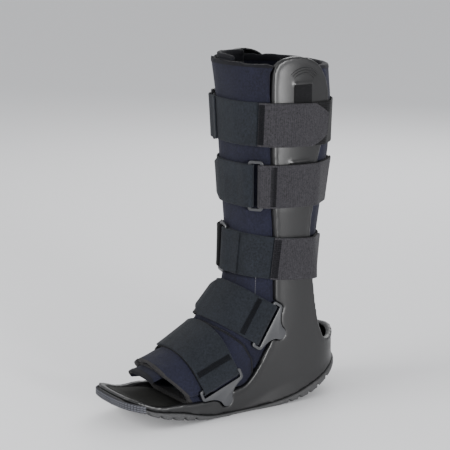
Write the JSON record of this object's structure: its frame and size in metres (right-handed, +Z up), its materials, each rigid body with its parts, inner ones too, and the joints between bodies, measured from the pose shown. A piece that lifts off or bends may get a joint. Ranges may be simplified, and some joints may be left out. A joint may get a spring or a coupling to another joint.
{
  "type": "medical walking boot",
  "caption": "Tall walking boot brace: rocker-soled moulded shell with side uprights, padded wrap liner, hook-and-loop leg and foot straps with slotted buckles.",
  "frame": {"origin": "middle of the bounding box at the height of the ground", "axes": "+Z up the leg, toe towards -Y, strap ends on the +X side"},
  "size_m": [0.131, 0.313, 0.4161],
  "materials": {
    "shell_plastic": "satin, charcoal",
    "sole_rubber": "matt, finely pebbled",
    "bumper_rubber": "matt blue-grey",
    "footbed_foam": "matt foam",
    "liner_fabric": "brushed navy laminate",
    "lining_fabric": "brushed black laminate",
    "loop_webbing": "napped loop webbing",
    "hook_webbing": "ribbed hook-backed webbing",
    "under_webbing": "black webbing",
    "buckle_plastic": "satin grey",
    "hook_patch": "hook tape"
  },
  "bodies": {
    "root": {"outsole": "sole_rubber", "toe_bumper": "bumper_rubber", "footbed": "footbed_foam", "liner": "liner_fabric", "liner_leg_flap": "liner_fabric", "liner_foot_flap": "liner_fabric", "liner_top_tongue": "lining_fabric", "liner_toe_flap": "lining_fabric", "shell": "shell_plastic", "foot_strap_1_under": "under_webbing", "foot_strap_1_top": "loop_webbing", "foot_strap_1_near_buckle": "buckle_plastic", "foot_strap_1_far_buckle": "buckle_plastic", "foot_strap_2_under": "under_webbing", "foot_strap_2_top": "loop_webbing", "foot_strap_2_near_buckle": "buckle_plastic", "foot_strap_2_far_buckle": "buckle_plastic", "hook_patch_near_upper": "hook_patch", "hook_patch_near_lower": "hook_patch", "hook_patch_far_upper": "hook_patch", "hook_patch_far_lower": "hook_patch", "leg_strap_1_back": "under_webbing", "leg_strap_1_front": "loop_webbing", "leg_strap_1_tab": "hook_webbing", "leg_strap_1_buckle": "buckle_plastic", "leg_strap_2_back": "under_webbing", "leg_strap_2_front": "loop_webbing", "leg_strap_2_tab": "hook_webbing", "leg_strap_2_buckle": "buckle_plastic", "leg_strap_3_back": "under_webbing", "leg_strap_3_front": "loop_webbing", "leg_strap_3_tab": "hook_webbing", "leg_strap_3_buckle": "buckle_plastic"}
  },
  "joints": []
}
